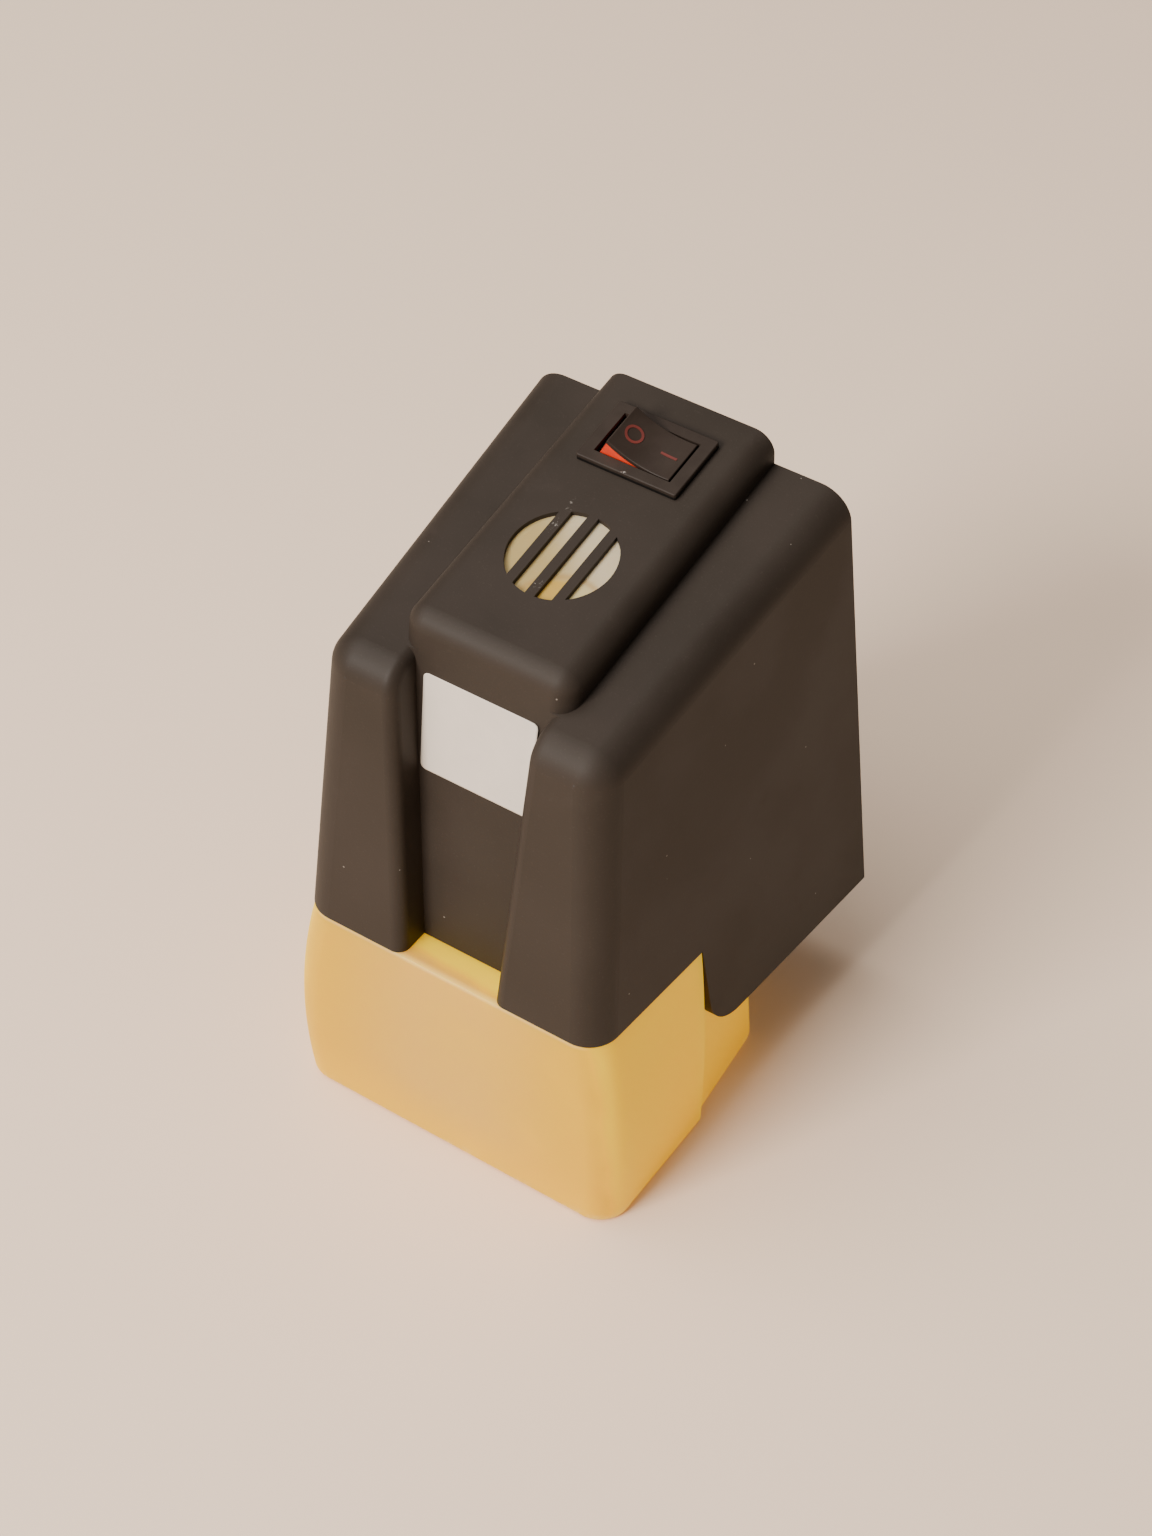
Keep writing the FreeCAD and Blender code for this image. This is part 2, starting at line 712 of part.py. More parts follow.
# ---- rocker switch ------------------------------------------------------
def make_switch_housing():
    """Bezel, body, snap wings and the bearings for the rocker's pins."""
    bezel = rounded_plate(bezel_length, bezel_width, bezel_height, bezel_corner)
    rim = [e for e in bezel.Edges if abs(e.BoundBox.ZMin - bezel_height) < 0.001]
    bezel = bezel.makeFillet(bezel_edge, rim)
    body = block(-switch_length / 2, switch_length / 2, -switch_width / 2, switch_width / 2,
                 -switch_depth, 0)
    housing = bezel.fuse(body)
    for side in (-1, 1):
        x = -wing_width / 2
        z_top = -hood_wall - seat_gap
        wing = prism([V(x, 0, z_top), V(x, wing_reach, z_top), V(x, 0, -wing_foot)], V(wing_width, 0, 0))
        if side < 0:
            wing = wing.mirror(V(0, 0, 0), V(0, 1, 0))
        wing.translate(V(0, side * switch_width / 2, 0))
        housing = housing.fuse(wing)
    housing = housing.cut(block(-window_length / 2, window_length / 2, -window_width / 2,
                                window_width / 2, -switch_depth + switch_floor, 2 * bezel_height))
    post = block(-fulcrum_width / 2, fulcrum_width / 2, -lever_width / 2, lever_width / 2,
                 -switch_depth + switch_floor / 2, -lever_depth - lever_thickness)
    post = post.cut(Part.makeCylinder(lever_pivot_radius + pin_gap, lever_width + 2,
                                      V(0, -lever_width / 2 - 1, -lever_depth), V(0, 1, 0)))
    housing = housing.fuse(post)
    bearing = Part.makeCylinder(hinge_pin_radius + pin_gap, switch_width + 2,
                                V(0, -switch_width / 2 - 1, -hinge_depth), V(0, 1, 0))
    for side in (-1, 1):
        x = side * switch_length / 4
        half_blade = terminal_blade / 2 + pin_gap
        half_width = terminal_width / 2 + pin_gap
        slot = block(x - half_blade, x + half_blade, -half_width, half_width,
                     -switch_depth - 1, -switch_depth + switch_floor + 0.5)
        housing = housing.cut(slot)
    housing = housing.cut(bearing)
    put(housing, ridge_place(switch_position))
    return housing.removeSplitter()


def rocker_solid(drop, width):
    """Rocker about its hinge line: a dished top lowered by 'drop', sloping ends and a narrower keel."""
    top = hinge_depth + rocker_end_height - drop
    side = -width / 2
    foot = rocker_end * keel_share
    left = V(-rocker_end, side, top)
    right = V(rocker_end, side, top)
    below = [right, V(rocker_skirt, side, 0), V(foot, side, -rocker_keel), V(-foot, side, -rocker_keel),
             V(-rocker_skirt, side, 0), left]
    edges = [Part.Arc(left, V(0, side, top - rocker_dish), right).toShape()]
    edges += [Part.makeLine(a, b) for a, b in zip(below, below[1:])]
    return Part.Face(Part.Wire(edges)).extrude(V(0, width, 0))


def place_rocker(shape):
    """Tilt a rocker piece to its rest position and set it on its hinge line."""
    tilt = FreeCAD.Placement(V(0, 0, 0), FreeCAD.Rotation(V(0, 1, 0), rocker_tilt))
    put(shape, ridge_place(switch_position, -hinge_depth).multiply(tilt))
    return shape


def make_rocker_core():
    """Red inner body with its hinge pins and plunger nose."""
    core = rocker_solid(rocker_cap_thickness, rocker_width)
    pins = Part.makeCylinder(hinge_pin_radius, switch_width - 2 * pin_end_gap,
                             V(0, -switch_width / 2 + pin_end_gap, 0), V(0, 1, 0))
    nose = Part.makeCylinder(nose_radius, nose_length, V(0, 0, -rocker_keel - nose_length))
    nose = nose.fuse(Part.makeSphere(nose_radius, V(0, 0, -rocker_keel - nose_length)))
    return place_rocker(core.fuse(pins).fuse(nose).removeSplitter())


def make_rocker_cap():
    """Black top layer of the rocker, dished from end to end."""
    cap = rocker_solid(0.0, rocker_width).cut(rocker_solid(rocker_cap_thickness, rocker_width + 2))
    lowest = hinge_depth + rocker_end_height - rocker_dish - 2 * rocker_cap_thickness
    cap = cap.common(block(-far, far, -far, far, lowest, far))
    top = hinge_depth + rocker_end_height - 0.01
    rim = [e for e in cap.Edges if e.BoundBox.ZMax > top and e.BoundBox.ZMin > lowest + 2 * rocker_cap_edge]
    return place_rocker(cap.makeFillet(rocker_cap_edge, rim))


def make_rocker_marks():
    """Off ring and on bar: a skin raised a little from the cap."""
    skin = rocker_solid(-mark_height, rocker_width).cut(rocker_solid(0.0, rocker_width + 2))
    place = rocker_end * mark_place
    ring = Part.makeCylinder(ring_radius, far, V(-place, 0, 0))
    ring = ring.cut(Part.makeCylinder(ring_radius - mark_width, far, V(-place, 0, 0)))
    bar = block(place - bar_length / 2, place + bar_length / 2, -mark_width / 2, mark_width / 2, 0, far)
    return place_rocker(Part.makeCompound([skin.common(ring), skin.common(bar)]))


lever_depth = switch_depth - lever_height    # lever's pivot below the ridge surface
lever_tilt = rocker_tilt / 2                 # degrees each way


def make_contact_lever():
    """See-saw contact under the rocker's nose."""
    half = lever_length / 2
    side = lever_width / 2
    strip = block(-half, half, -side, side, -lever_thickness / 2, lever_thickness / 2)
    strip = strip.fuse(Part.makeCylinder(lever_pivot_radius, lever_width, V(0, -side, 0), V(0, 1, 0)))
    for end in (-1, 1):
        x = end * (half - contact_radius - 0.1)
        z = -lever_thickness / 2 - contact_thickness
        strip = strip.fuse(Part.makeCylinder(contact_radius, contact_thickness, V(x, 0, z)))
    tilt = FreeCAD.Placement(V(0, 0, 0), FreeCAD.Rotation(V(0, 1, 0), -lever_tilt))
    put(strip, ridge_place(switch_position, -lever_depth).multiply(tilt))
    return strip


def make_switch_terminals():
    """Blade terminals under the switch body."""
    blades = []
    for side in (-1, 1):
        x = side * switch_length / 4
        blade = block(x - terminal_blade / 2, x + terminal_blade / 2, -terminal_width / 2, terminal_width / 2,
                      -switch_depth - terminal_reach, -switch_depth + terminal_root)
        eye = Part.makeCylinder(terminal_eye, 3 * terminal_blade,
                                V(x - 1.5 * terminal_blade, 0, -switch_depth - terminal_eye_drop), V(1, 0, 0))
        blades.append(blade.cut(eye))
    terminals = Part.makeCompound(blades)
    put(terminals, ridge_place(switch_position))
    return terminals


# ---- grille diffuser and sounder ----------------------------------------
def below_grille(shape):
    """Set a piece under the grille; local Z = 0 is the wall's inner face."""
    put(shape, ridge_place(grille_position, -grille_skin))
    return shape


def make_diffuser():
    """Frosted disc behind the grille."""
    radius = grille_radius + diffuser_margin
    disc = Part.makeCylinder(radius, diffuser_thickness, V(0, 0, -diffuser_thickness))
    return below_grille(disc)


def make_sounder_holder():
    """Cup that traps the diffuser against the wall and grips the sounder."""
    inner = grille_radius + diffuser_margin + seat_gap
    depth = diffuser_thickness + sounder_height + sounder_skirt
    cup = Part.makeCylinder(inner + sounder_ring_wall, depth, V(0, 0, -depth))
    cup = cup.cut(Part.makeCylinder(inner, diffuser_thickness, V(0, 0, -diffuser_thickness)))
    cup = cup.cut(Part.makeCylinder(sounder_radius + pin_gap, depth, V(0, 0, -depth)))
    return below_grille(cup)


def make_sounder_case():
    """Round sounder case with a sound hole."""
    top = -diffuser_thickness - sounder_drop
    case = Part.makeCylinder(sounder_radius, sounder_height, V(0, 0, top - sounder_height))
    case = case.cut(Part.makeCylinder(sounder_hole, sounder_lid + 1, V(0, 0, top - sounder_lid)))
    case = case.cut(Part.makeCylinder(sounder_radius - sounder_wall, sounder_height - 2 * sounder_lid,
                                      V(0, 0, top - sounder_height + sounder_lid)))
    return below_grille(case)


def make_sounder_disc():
    """Brass and ceramic disc that makes the sound."""
    top = -diffuser_thickness - sounder_drop - sounder_lid
    radius = sounder_radius - sounder_wall
    brass = Part.makeCylinder(radius, disc_thickness, V(0, 0, top - disc_thickness))
    ceramic = Part.makeCylinder(radius - disc_step, disc_thickness, V(0, 0, top - 2 * disc_thickness))
    return below_grille(brass.fuse(ceramic))


# ---- label --------------------------------------------------------------
def make_label():
    """Blank label on the channel's floor, just under the ridge's nose."""
    plate = block(-label_width / 2, label_width / 2, -label_thickness, 0, -label_height, 0)
    upright = [e for e in plate.Edges if abs(e.tangentAt(e.FirstParameter).y) > 0.9]
    plate = plate.makeFillet(label_corner, upright)
    z = z_ledge + label_top
    plate.Placement = FreeCAD.Placement(V(0, front_y(z, channel_depth), z),
                                        FreeCAD.Rotation(V(1, 0, 0), -front_draft))
    return plate


# ---- circuit board ------------------------------------------------------
y_board = y_front + board_setback


def make_board():
    """Circuit board standing in the base, its top screwed to the hood."""
    board = block(-board_width / 2, board_width / 2, y_board, y_board + board_thickness,
                  board_lift, board_lift + board_height)
    z = board_lift + board_height - board_boss_drop
    for side in (-1, 1):
        board = board.cut(Part.makeCylinder(board_screw_radius + board_hole_play, board_thickness + 2,
                                            V(side * board_boss_spacing / 2, y_board - 1, z), V(0, 1, 0)))
    return board


def make_board_screws():
    """Pan-head screws that hold the board's top."""
    z = board_lift + board_height - board_boss_drop
    y = y_board + board_thickness
    screws = []
    for side in (-1, 1):
        x = side * board_boss_spacing / 2
        y_head = y + board_screw_head_height
        head = Part.makeCylinder(board_screw_head, board_screw_head_height, V(x, y, z), V(0, 1, 0))
        rim = [e for e in head.Edges if e.BoundBox.YMin > y_head - 0.1]
        head = head.makeFillet(board_screw_head_round, rim)
        shank = Part.makeCylinder(board_screw_radius - pin_gap, board_screw_length, V(x, y, z), V(0, -1, 0))
        length, width, depth = board_screw_slot
        slot = block(x - length / 2, x + length / 2, y_head - depth, y_head + 1, z - width / 2, z + width / 2)
        screws.append(head.fuse(shank).cut(slot).removeSplitter())
    return Part.makeCompound(screws)


def make_board_guides():
    """Slotted posts on the base floor that hold the board's sides."""
    posts = []
    for side in (-1, 1):
        x = side * board_width / 2
        post = block(x - guide_width / 2, x + guide_width / 2, y_board - guide_cheek,
                     y_board + board_thickness + guide_cheek, base_floor, board_lift + guide_height)
        x_inner = x - side * guide_width
        x_outer = x + side * guide_bite
        slot = block(min(x_inner, x_outer), max(x_inner, x_outer), y_board - seat_gap,
                     y_board + board_thickness + seat_gap, board_lift, board_lift + guide_height + 1)
        posts.append(post.cut(slot))
    return Part.makeCompound(posts)


def make_leds():
    """Indicator lamps low on the board, shining into the base."""
    lamps = []
    for side in (-1, 1):
        x = side * led_spacing / 2
        z = board_lift + led_level
        body = Part.makeCylinder(led_radius, led_length - led_radius, V(x, y_board, z), V(0, -1, 0))
        flange = Part.makeCylinder(led_radius + led_flange, led_flange_thickness, V(x, y_board, z), V(0, -1, 0))
        dome = Part.makeSphere(led_radius, V(x, y_board - led_length + led_radius, z))
        lamps.append(body.fuse(flange).fuse(dome).removeSplitter())
    return Part.makeCompound(lamps)


def make_chip():
    """Controller chip with its two rows of legs."""
    y = y_board + board_thickness
    z = board_lift + chip_level
    half = chip_width / 2
    chip = block(-half, half, y + chip_stand, y + chip_stand + chip_thickness,
                 z - chip_length / 2, z + chip_length / 2)
    for side in (-1, 1):
        x_inner = side * half
        x_outer = side * (half + leg_reach)
        for i in range(leg_count):
            z_leg = z + leg_pitch * (i - (leg_count - 1) / 2)
            chip = chip.fuse(block(min(x_inner, x_outer), max(x_inner, x_outer), y, y + leg_height,
                                   z_leg - leg_width / 2, z_leg + leg_width / 2))
    return chip.removeSplitter()


def make_capacitors():
    """Upright capacitors on the board's back."""
    y = y_board + board_thickness
    cans = []
    for x, level, radius, height in capacitor_places:
        can = Part.makeCylinder(radius, height, V(x, y, board_lift + level), V(0, 1, 0))
        top = [e for e in can.Edges if e.BoundBox.YMin > y + height / 2]
        cans.append(can.makeFillet(capacitor_round, top))
    return Part.makeCompound(cans)


# ---- pickup coil --------------------------------------------------------
y_rod = y_front + rod_setback


def make_rod():
    """Ferrite rod lying across the front of the base."""
    return Part.makeCylinder(rod_radius, rod_length, V(-rod_length / 2, y_rod, rod_height), V(1, 0, 0))


def make_coil():
    """Pickup winding on the rod, with its end flanges."""
    x0 = -coil_length / 2
    coil = Part.makeCylinder(coil_radius, coil_length, V(x0, y_rod, rod_height), V(1, 0, 0))
    for x in (x0 - coil_flange_thickness, x0 + coil_length):
        coil = coil.fuse(Part.makeCylinder(coil_radius + coil_flange, coil_flange_thickness,
                                           V(x, y_rod, rod_height), V(1, 0, 0)))
    bore = Part.makeCylinder(rod_radius + pin_gap, coil_length + 4, V(x0 - 2, y_rod, rod_height), V(1, 0, 0))
    return coil.cut(bore).removeSplitter()


def make_cradles():
    """Two cradles on the base floor that carry the rod."""
    cradles = []
    for side in (-1, 1):
        x = side * cradle_spacing / 2 - cradle_width / 2
        reach = rod_radius + cradle_cheek
        cradle = block(x, x + cradle_width, y_rod - reach, y_rod + reach, base_floor, rod_height + cradle_rise)
        groove = Part.makeCylinder(rod_radius + pin_gap, cradle_width + 2,
                                   V(x - 1, y_rod, rod_height), V(1, 0, 0))
        half_mouth = rod_radius * cradle_mouth
        mouth = block(x - 1, x + cradle_width + 1, y_rod - half_mouth, y_rod + half_mouth,
                      rod_height + rod_radius / 3, rod_height + 2 * rod_radius)
        cradles.append(cradle.cut(groove).cut(mouth))
    return Part.makeCompound(cradles)


save("hood", make_hood())
save("base_housing", make_base())
save("back_cover", make_back_cover())
save("cover_screws", make_cover_screws())
save("battery_door", make_door())
save("battery", make_battery())
save("battery_snap", make_battery_snap())
save("switch_housing", make_switch_housing())
save("rocker_core", make_rocker_core())
save("rocker_cap", make_rocker_cap())
save("rocker_marks", make_rocker_marks())
save("contact_lever", make_contact_lever())
save("switch_terminals", make_switch_terminals())
save("grille_diffuser", make_diffuser())
save("sounder_holder", make_sounder_holder())
save("sounder_case", make_sounder_case())
save("sounder_disc", make_sounder_disc())
save("label", make_label())
save("circuit_board", make_board())
save("board_screws", make_board_screws())
save("board_guides", make_board_guides())
save("indicator_leds", make_leds())
save("controller_chip", make_chip())
save("capacitors", make_capacitors())
save("ferrite_rod", make_rod())
save("pickup_coil", make_coil())
save("coil_cradles", make_cradles())
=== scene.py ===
"""Finishes, label and studio for the circuit breaker finder. Metres, Z up, the hood's front faces -Y."""
import json

import bpy
import numpy as np
from mathutils import Matrix, Vector


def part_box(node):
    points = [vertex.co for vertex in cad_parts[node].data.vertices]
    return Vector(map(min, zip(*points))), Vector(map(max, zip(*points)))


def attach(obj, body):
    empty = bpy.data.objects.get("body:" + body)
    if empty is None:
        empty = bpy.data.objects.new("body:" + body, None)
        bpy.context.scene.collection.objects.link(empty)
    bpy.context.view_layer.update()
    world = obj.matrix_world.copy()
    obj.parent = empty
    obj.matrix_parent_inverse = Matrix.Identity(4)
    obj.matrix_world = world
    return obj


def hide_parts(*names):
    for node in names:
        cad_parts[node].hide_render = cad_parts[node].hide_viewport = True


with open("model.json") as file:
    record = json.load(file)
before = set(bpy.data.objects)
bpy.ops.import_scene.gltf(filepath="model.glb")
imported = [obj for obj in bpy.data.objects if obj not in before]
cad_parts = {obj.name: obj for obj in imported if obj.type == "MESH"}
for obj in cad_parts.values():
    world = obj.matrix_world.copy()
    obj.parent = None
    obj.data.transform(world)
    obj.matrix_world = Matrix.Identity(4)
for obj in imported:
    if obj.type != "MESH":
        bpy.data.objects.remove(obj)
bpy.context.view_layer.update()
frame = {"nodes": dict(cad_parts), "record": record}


# ---- places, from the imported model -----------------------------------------
def low_corner(node):
    """Lowest corner of a node's box, as plain numbers."""
    return tuple(float(side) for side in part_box(node)[0])


def high_corner(node):
    """Highest corner of a node's box, as plain numbers."""
    return tuple(float(side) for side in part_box(node)[1])


BASE_FRONT = low_corner("base_housing")[1]
LEDGE_HEIGHT = 0.050                    # of the base's ledge, where the hood's columns stand
BATTERY_TOP = high_corner("battery")[2]

DISC_LOW = low_corner("grille_diffuser")
DISC_HIGH = high_corner("grille_diffuser")
DISC_X, DISC_Y, DISC_Z = ((low + high) / 2 for low, high in zip(DISC_LOW, DISC_HIGH))
ARC_CENTRE = (DISC_X + 0.0060, DISC_Y - 0.0115, DISC_Z)
ARC_RADIUS = 0.0088                     # the milky disc is golden inside this arc

ROCKER_TILT = next(joint for joint in frame["record"]["behaviour"]["joints"] if joint["name"] == "rocker_tilt")
ROCKER_PIN = ROCKER_TILT["pos_m"]
ALONG_RIDGE = ROCKER_TILT["axis"]       # the pin lies along the ridge, which slopes up to the back
RIDGE_UP = (0.0, -ALONG_RIDGE[2], ALONG_RIDGE[1])
PIN_DEPTH = 0.0012                      # of the pin under the ridge's plane
RIDGE_LEVEL = ROCKER_PIN[1] * RIDGE_UP[1] + ROCKER_PIN[2] * RIDGE_UP[2] + PIN_DEPTH

SWITCH_LOW = low_corner("switch_housing")
BEZEL_NICK = (-0.0005, SWITCH_LOW[1] + 0.0002, SWITCH_LOW[2] + 0.0144)

BAR_PITCH = 0.0052                      # from one grille bar to the next
SCUFFS = (                              # centre, radius, scale along Y: under 1 draws a scuff out
    ((-BAR_PITCH, DISC_Y + 0.0098, DISC_HIGH[2] + 0.0014), 0.0017, 0.55),
    ((-BAR_PITCH, DISC_Y + 0.0048, DISC_HIGH[2] + 0.0001), 0.0014, 0.45),
    ((0.0, DISC_Y - 0.0080, DISC_LOW[2] + 0.0032), 0.0013, 0.60),
)


# ---- material maths --------------------------------------------------------
class Value:
    """A socket in a finish. Arithmetic on it, with numbers on either side, adds Math nodes."""

    def __init__(self, finish, socket):
        self.finish = finish
        self.socket = socket

    def math(self, operation, first, second):
        return self.finish.node("ShaderNodeMath", {"operation": operation}, {0: first, 1: second})

    def __add__(self, other):
        return self.math("ADD", self, other)

    def __sub__(self, other):
        return self.math("SUBTRACT", self, other)

    def __rsub__(self, other):
        return self.math("SUBTRACT", other, self)

    def __mul__(self, other):
        return self.math("MULTIPLY", self, other)

    def __truediv__(self, other):
        return self.math("DIVIDE", self, other)

    def __rtruediv__(self, other):
        return self.math("DIVIDE", other, self)

    def __lt__(self, other):
        return self.math("LESS_THAN", self, other)

    def __gt__(self, other):
        return self.math("GREATER_THAN", self, other)

    __radd__ = __add__
    __rmul__ = __mul__


class Finish:
    """One material: its node tree, its shader and the object coordinates that its patterns read."""

    def __init__(self, name, **constants):
        self.material = bpy.data.materials.new(name)
        self.material.use_nodes = True
        self.tree = self.material.node_tree
        self.shader = self.tree.nodes["Principled BSDF"]
        self.place = self.node("ShaderNodeTexCoord", output="Object")
        self.wear(**constants)

    def feed(self, socket, value):
        """Links a Value to a socket, or sets the socket's own number, colour or vector."""
        if isinstance(value, Value):
            self.tree.links.new(value.socket, socket)
        elif socket.type == "RGBA":
            socket.default_value = value + (1.0,)
        else:
            socket.default_value = value

    def node(self, kind, settings=None, inputs=None, output=0):
        """Any node: its settings are set first, then its sockets are fed. Returns one output."""
        made = self.tree.nodes.new(kind)
        for name, setting in (settings or {}).items():
            setattr(made, name, setting)
        for key, value in (inputs or {}).items():
            self.feed(made.inputs[key], value)
        return Value(self, made.outputs[output])

    def wear(self, **sockets):
        """Feeds the shader's own sockets."""
        for name, value in sockets.items():
            self.feed(self.shader.inputs[name.replace("_", " ")], value)

    def worn(self, name):
        """What feeds one of the shader's sockets now."""
        return Value(self, self.shader.inputs[name].links[0].from_socket)

    def noise(self, scale, detail=2.0, roughness=0.5, place=None):
        """Cloudy pattern from 0 to 1."""
        return self.node("ShaderNodeTexNoise", None,
                         {"Vector": place or self.place, "Scale": scale,
                          "Detail": detail, "Roughness": roughness})

    def turned(self, centre, turn=(0, 0, 0), scale=(1, 1, 1)):
        """Object coordinates moved to a centre, turned and scaled."""
        moved = self.node("ShaderNodeVectorMath", {"operation": "SUBTRACT"}, {0: self.place, 1: centre})
        return self.node("ShaderNodeMapping", None, {"Vector": moved, "Rotation": turn, "Scale": scale})

    def away(self, centre, scale=(1, 1, 1)):
        """Distance from a centre, in coordinates scaled round it."""
        return self.node("ShaderNodeVectorMath", {"operation": "LENGTH"},
                         {0: self.turned(centre, scale=scale)}, output="Value")

    def spot(self, centre, radius, scale=(1, 1, 1)):
        """1 at the centre, falling softly to 0 at the radius."""
        return self.ramp(self.away(centre, scale), radius, 0.0)

    def ramp(self, value, start, end, low=0.0, high=1.0):
        """Value mapped softly from start..end to low..high, held at both ends."""
        return self.node("ShaderNodeMapRange", {"interpolation_type": "SMOOTHSTEP"},
                         {"Value": value, "From Min": start, "From Max": end, "To Min": low, "To Max": high})

    def axis(self, name):
        """One object coordinate."""
        return self.node("ShaderNodeSeparateXYZ", None, {0: self.place}, output=name)

    def blend(self, mask, first, second):
        """First colour where the mask is 0, second where it is 1."""
        return self.node("ShaderNodeMix", {"data_type": "RGBA"}, {0: mask, 6: first, 7: second}, output=2)

    def specks(self, scale, size, share):
        """Small round specks, one to a cell at most: a speck shows in the given share of the cells."""
        cells = {"Vector": self.place, "Scale": scale}
        away = self.node("ShaderNodeTexVoronoi", None, cells, output="Distance")
        chance = self.node("ShaderNodeTexVoronoi", None, cells, output="Color")
        drawn = self.node("ShaderNodeSeparateColor", None, {0: chance}, output=0)
        return (away < size) * (drawn < share)

    def bump(self, height, depth, strength=1.0):
        """Relief of the given depth from a height pattern."""
        return self.node("ShaderNodeBump", None, {"Height": height, "Distance": depth, "Strength": strength})


# ---- finishes --------------------------------------------------------------
def hood_shell():
    """The hood's fine spark-eroded black plastic: a little dust, rubbed paler in places, with
    light scuffs on two of the grille's bars."""
    f = Finish("hood shell", IOR=1.46, Specular_IOR_Level=0.24)
    cloud = f.ramp(f.noise(28, 4, 0.55), 0.3, 0.7)
    grain = f.noise(2300, 3, 0.6)
    black, worn_black, pale_grain = (0.023, 0.0165, 0.0120), (0.031, 0.0228, 0.0172), (0.060, 0.047, 0.038)
    colour = f.blend(cloud, black, worn_black)
    colour = f.blend(f.ramp(grain, 0.58, 0.75) * 0.25, colour, pale_grain)

    dust = f.specks(330, 0.060, 0.07) + f.specks(120, 0.030, 0.08)
    colour = f.blend(dust * 0.55, colour, (0.34, 0.30, 0.26))
    rubbed = f.ramp(f.noise(90, 5, 0.7), 0.60, 0.80) * 0.20
    colour = f.blend(rubbed, colour, pale_grain)

    flecks = f.ramp(f.noise(1900, 4, 0.7), 0.54, 0.66)
    scuffed = sum(f.spot(centre, radius, (1, y_scale, 1)) * flecks for centre, radius, y_scale in SCUFFS)
    colour = f.blend(f.ramp(scuffed, 0.05, 0.7) * 0.5, colour, (0.44, 0.40, 0.36))
    f.wear(Base_Color=colour, Roughness=f.ramp(cloud, 0, 1, 0.52, 0.60) + rubbed * 0.4,
           Normal=f.bump(grain, 0.00004, 0.45))
    return f


def frosted_base():
    """Cloudy yellow plastic: light goes into the wall and comes out softened, and emission adds a painted glow,
    stronger on the sides than on the front wall. The front wall is milky in its middle, partly the plastic's
    haze and partly painted sheen, the sides and the foot are a deeper yellow, and a painted highlight runs
    along the front edge just under the ledge."""
    # Emission_Strength gives a painted glow: the plastic gives off light, though it is no lamp
    f = Finish("frosted base", IOR=1.46, Specular_IOR_Level=0.22, Transmission_Weight=0.03,
               Subsurface_Weight=0.80, Subsurface_Scale=0.010, Subsurface_Radius=(1.0, 0.70, 0.08),
               Emission_Strength=0.36)
    x, y, z = (f.axis(name) for name in "XYZ")
    cloud = f.noise(22, 3, 0.5)
    grain = f.noise(2600, 3, 0.6)
    drift = cloud - 0.5

    deep, amber, milky = (0.92, 0.53, 0.001), (0.60, 0.33, 0.002), (0.60, 0.335, 0.062)
    behind_front = y - BASE_FRONT
    front_wall = f.ramp(behind_front + drift * 0.010, 0.00475, 0.00105)
    off_middle = f.node("ShaderNodeMath", {"operation": "ABSOLUTE"}, {0: x + drift * 0.012})
    middle = f.ramp(off_middle, 0.006, 0.030, 1.0, 0.1)
    above_foot = f.ramp(z + cloud * 0.016, 0.006, 0.026, 0.4, 1.0)
    # the milky haze in the front wall's middle is partly the plastic's own haze and partly painted sheen of the
    # front light
    haze_and_sheen = front_wall * middle * above_foot
    colour = f.blend(haze_and_sheen, f.blend(front_wall, deep, amber), milky)

    foot = f.ramp(z + cloud * 0.010, 0.022, 0.004)
    colour = f.blend(foot * 0.5, colour, (0.74, 0.43, 0.001))
    colour = f.blend(f.ramp(cloud, 0.35, 0.75) * 0.25, colour, (0.74, 0.42, 0.01))
    # painted highlight: a pale line along the front edge just under the ledge, where the edge catches the light
    ledge_highlight = f.ramp(z - LEDGE_HEIGHT, -0.0011, -0.0002) * f.ramp(behind_front, 0.00285, 0.00145)
    colour = f.blend(ledge_highlight * 0.35, colour, (0.95, 0.70, 0.34))
    rubbed = f.ramp(z, 0.004, 0.0) * f.ramp(f.noise(260, 4, 0.7), 0.45, 0.7)
    colour = f.blend(rubbed * 0.35, colour, (0.80, 0.70, 0.52))

    # painted glow: emission colour, deep yellow on the sides and dimmer on the front wall, standing in for
    # light shining through the plastic
    painted_glow = f.blend(front_wall, (1.0, 0.55, 0.0), (0.50, 0.25, 0.0))
    f.wear(Base_Color=colour, Emission_Color=painted_glow, Roughness=f.ramp(cloud, 0.3, 0.7, 0.42, 0.52),
           Normal=f.bump(grain, 0.00003, 0.35))
    return f


def moulded(name, colour, second, roughness, grain_scale=1800, **constants):
    """Plain moulded plastic: a slow change of tone and a fine grain."""
    f = Finish(name, IOR=1.47, **constants)
    cloud = f.noise(140, 3, 0.55)
    grain = f.noise(grain_scale, 3, 0.6)
    f.wear(Base_Color=f.blend(f.ramp(cloud, 0.35, 0.7), colour, second),
           Roughness=f.ramp(cloud, 0.3, 0.7, roughness, roughness + 0.07),
           Normal=f.bump(grain, 0.00002, 0.5))
    return f


def switch_black():
    """The switch's black plastic: painted shade darkens it in the gap under the bezel, with a light nick on the
    bezel's front edge.
    """
    f = moulded("switch body", (0.025, 0.0170, 0.0128), (0.031, 0.0220, 0.0168), 0.50,
                Specular_IOR_Level=0.22)
    over_ridge = f.axis("Z") * RIDGE_UP[2] + f.axis("Y") * RIDGE_UP[1] - RIDGE_LEVEL
    # painted shade: near black up to about 0.4 to 0.9 mm over the ridge's plane, the shaded gap under the bezel
    colour = f.blend(f.ramp(over_ridge, 0.0004, 0.0009), (0.0035, 0.0028, 0.0024), f.worn("Base Color"))
    nick = f.spot(BEZEL_NICK, 0.0007, (0.7, 1, 1)) * f.ramp(f.noise(2200, 3), 0.40, 0.55)
    f.wear(Base_Color=f.blend(f.ramp(nick, 0.1, 0.5) * 0.6, colour, (0.45, 0.41, 0.37)))
    return f


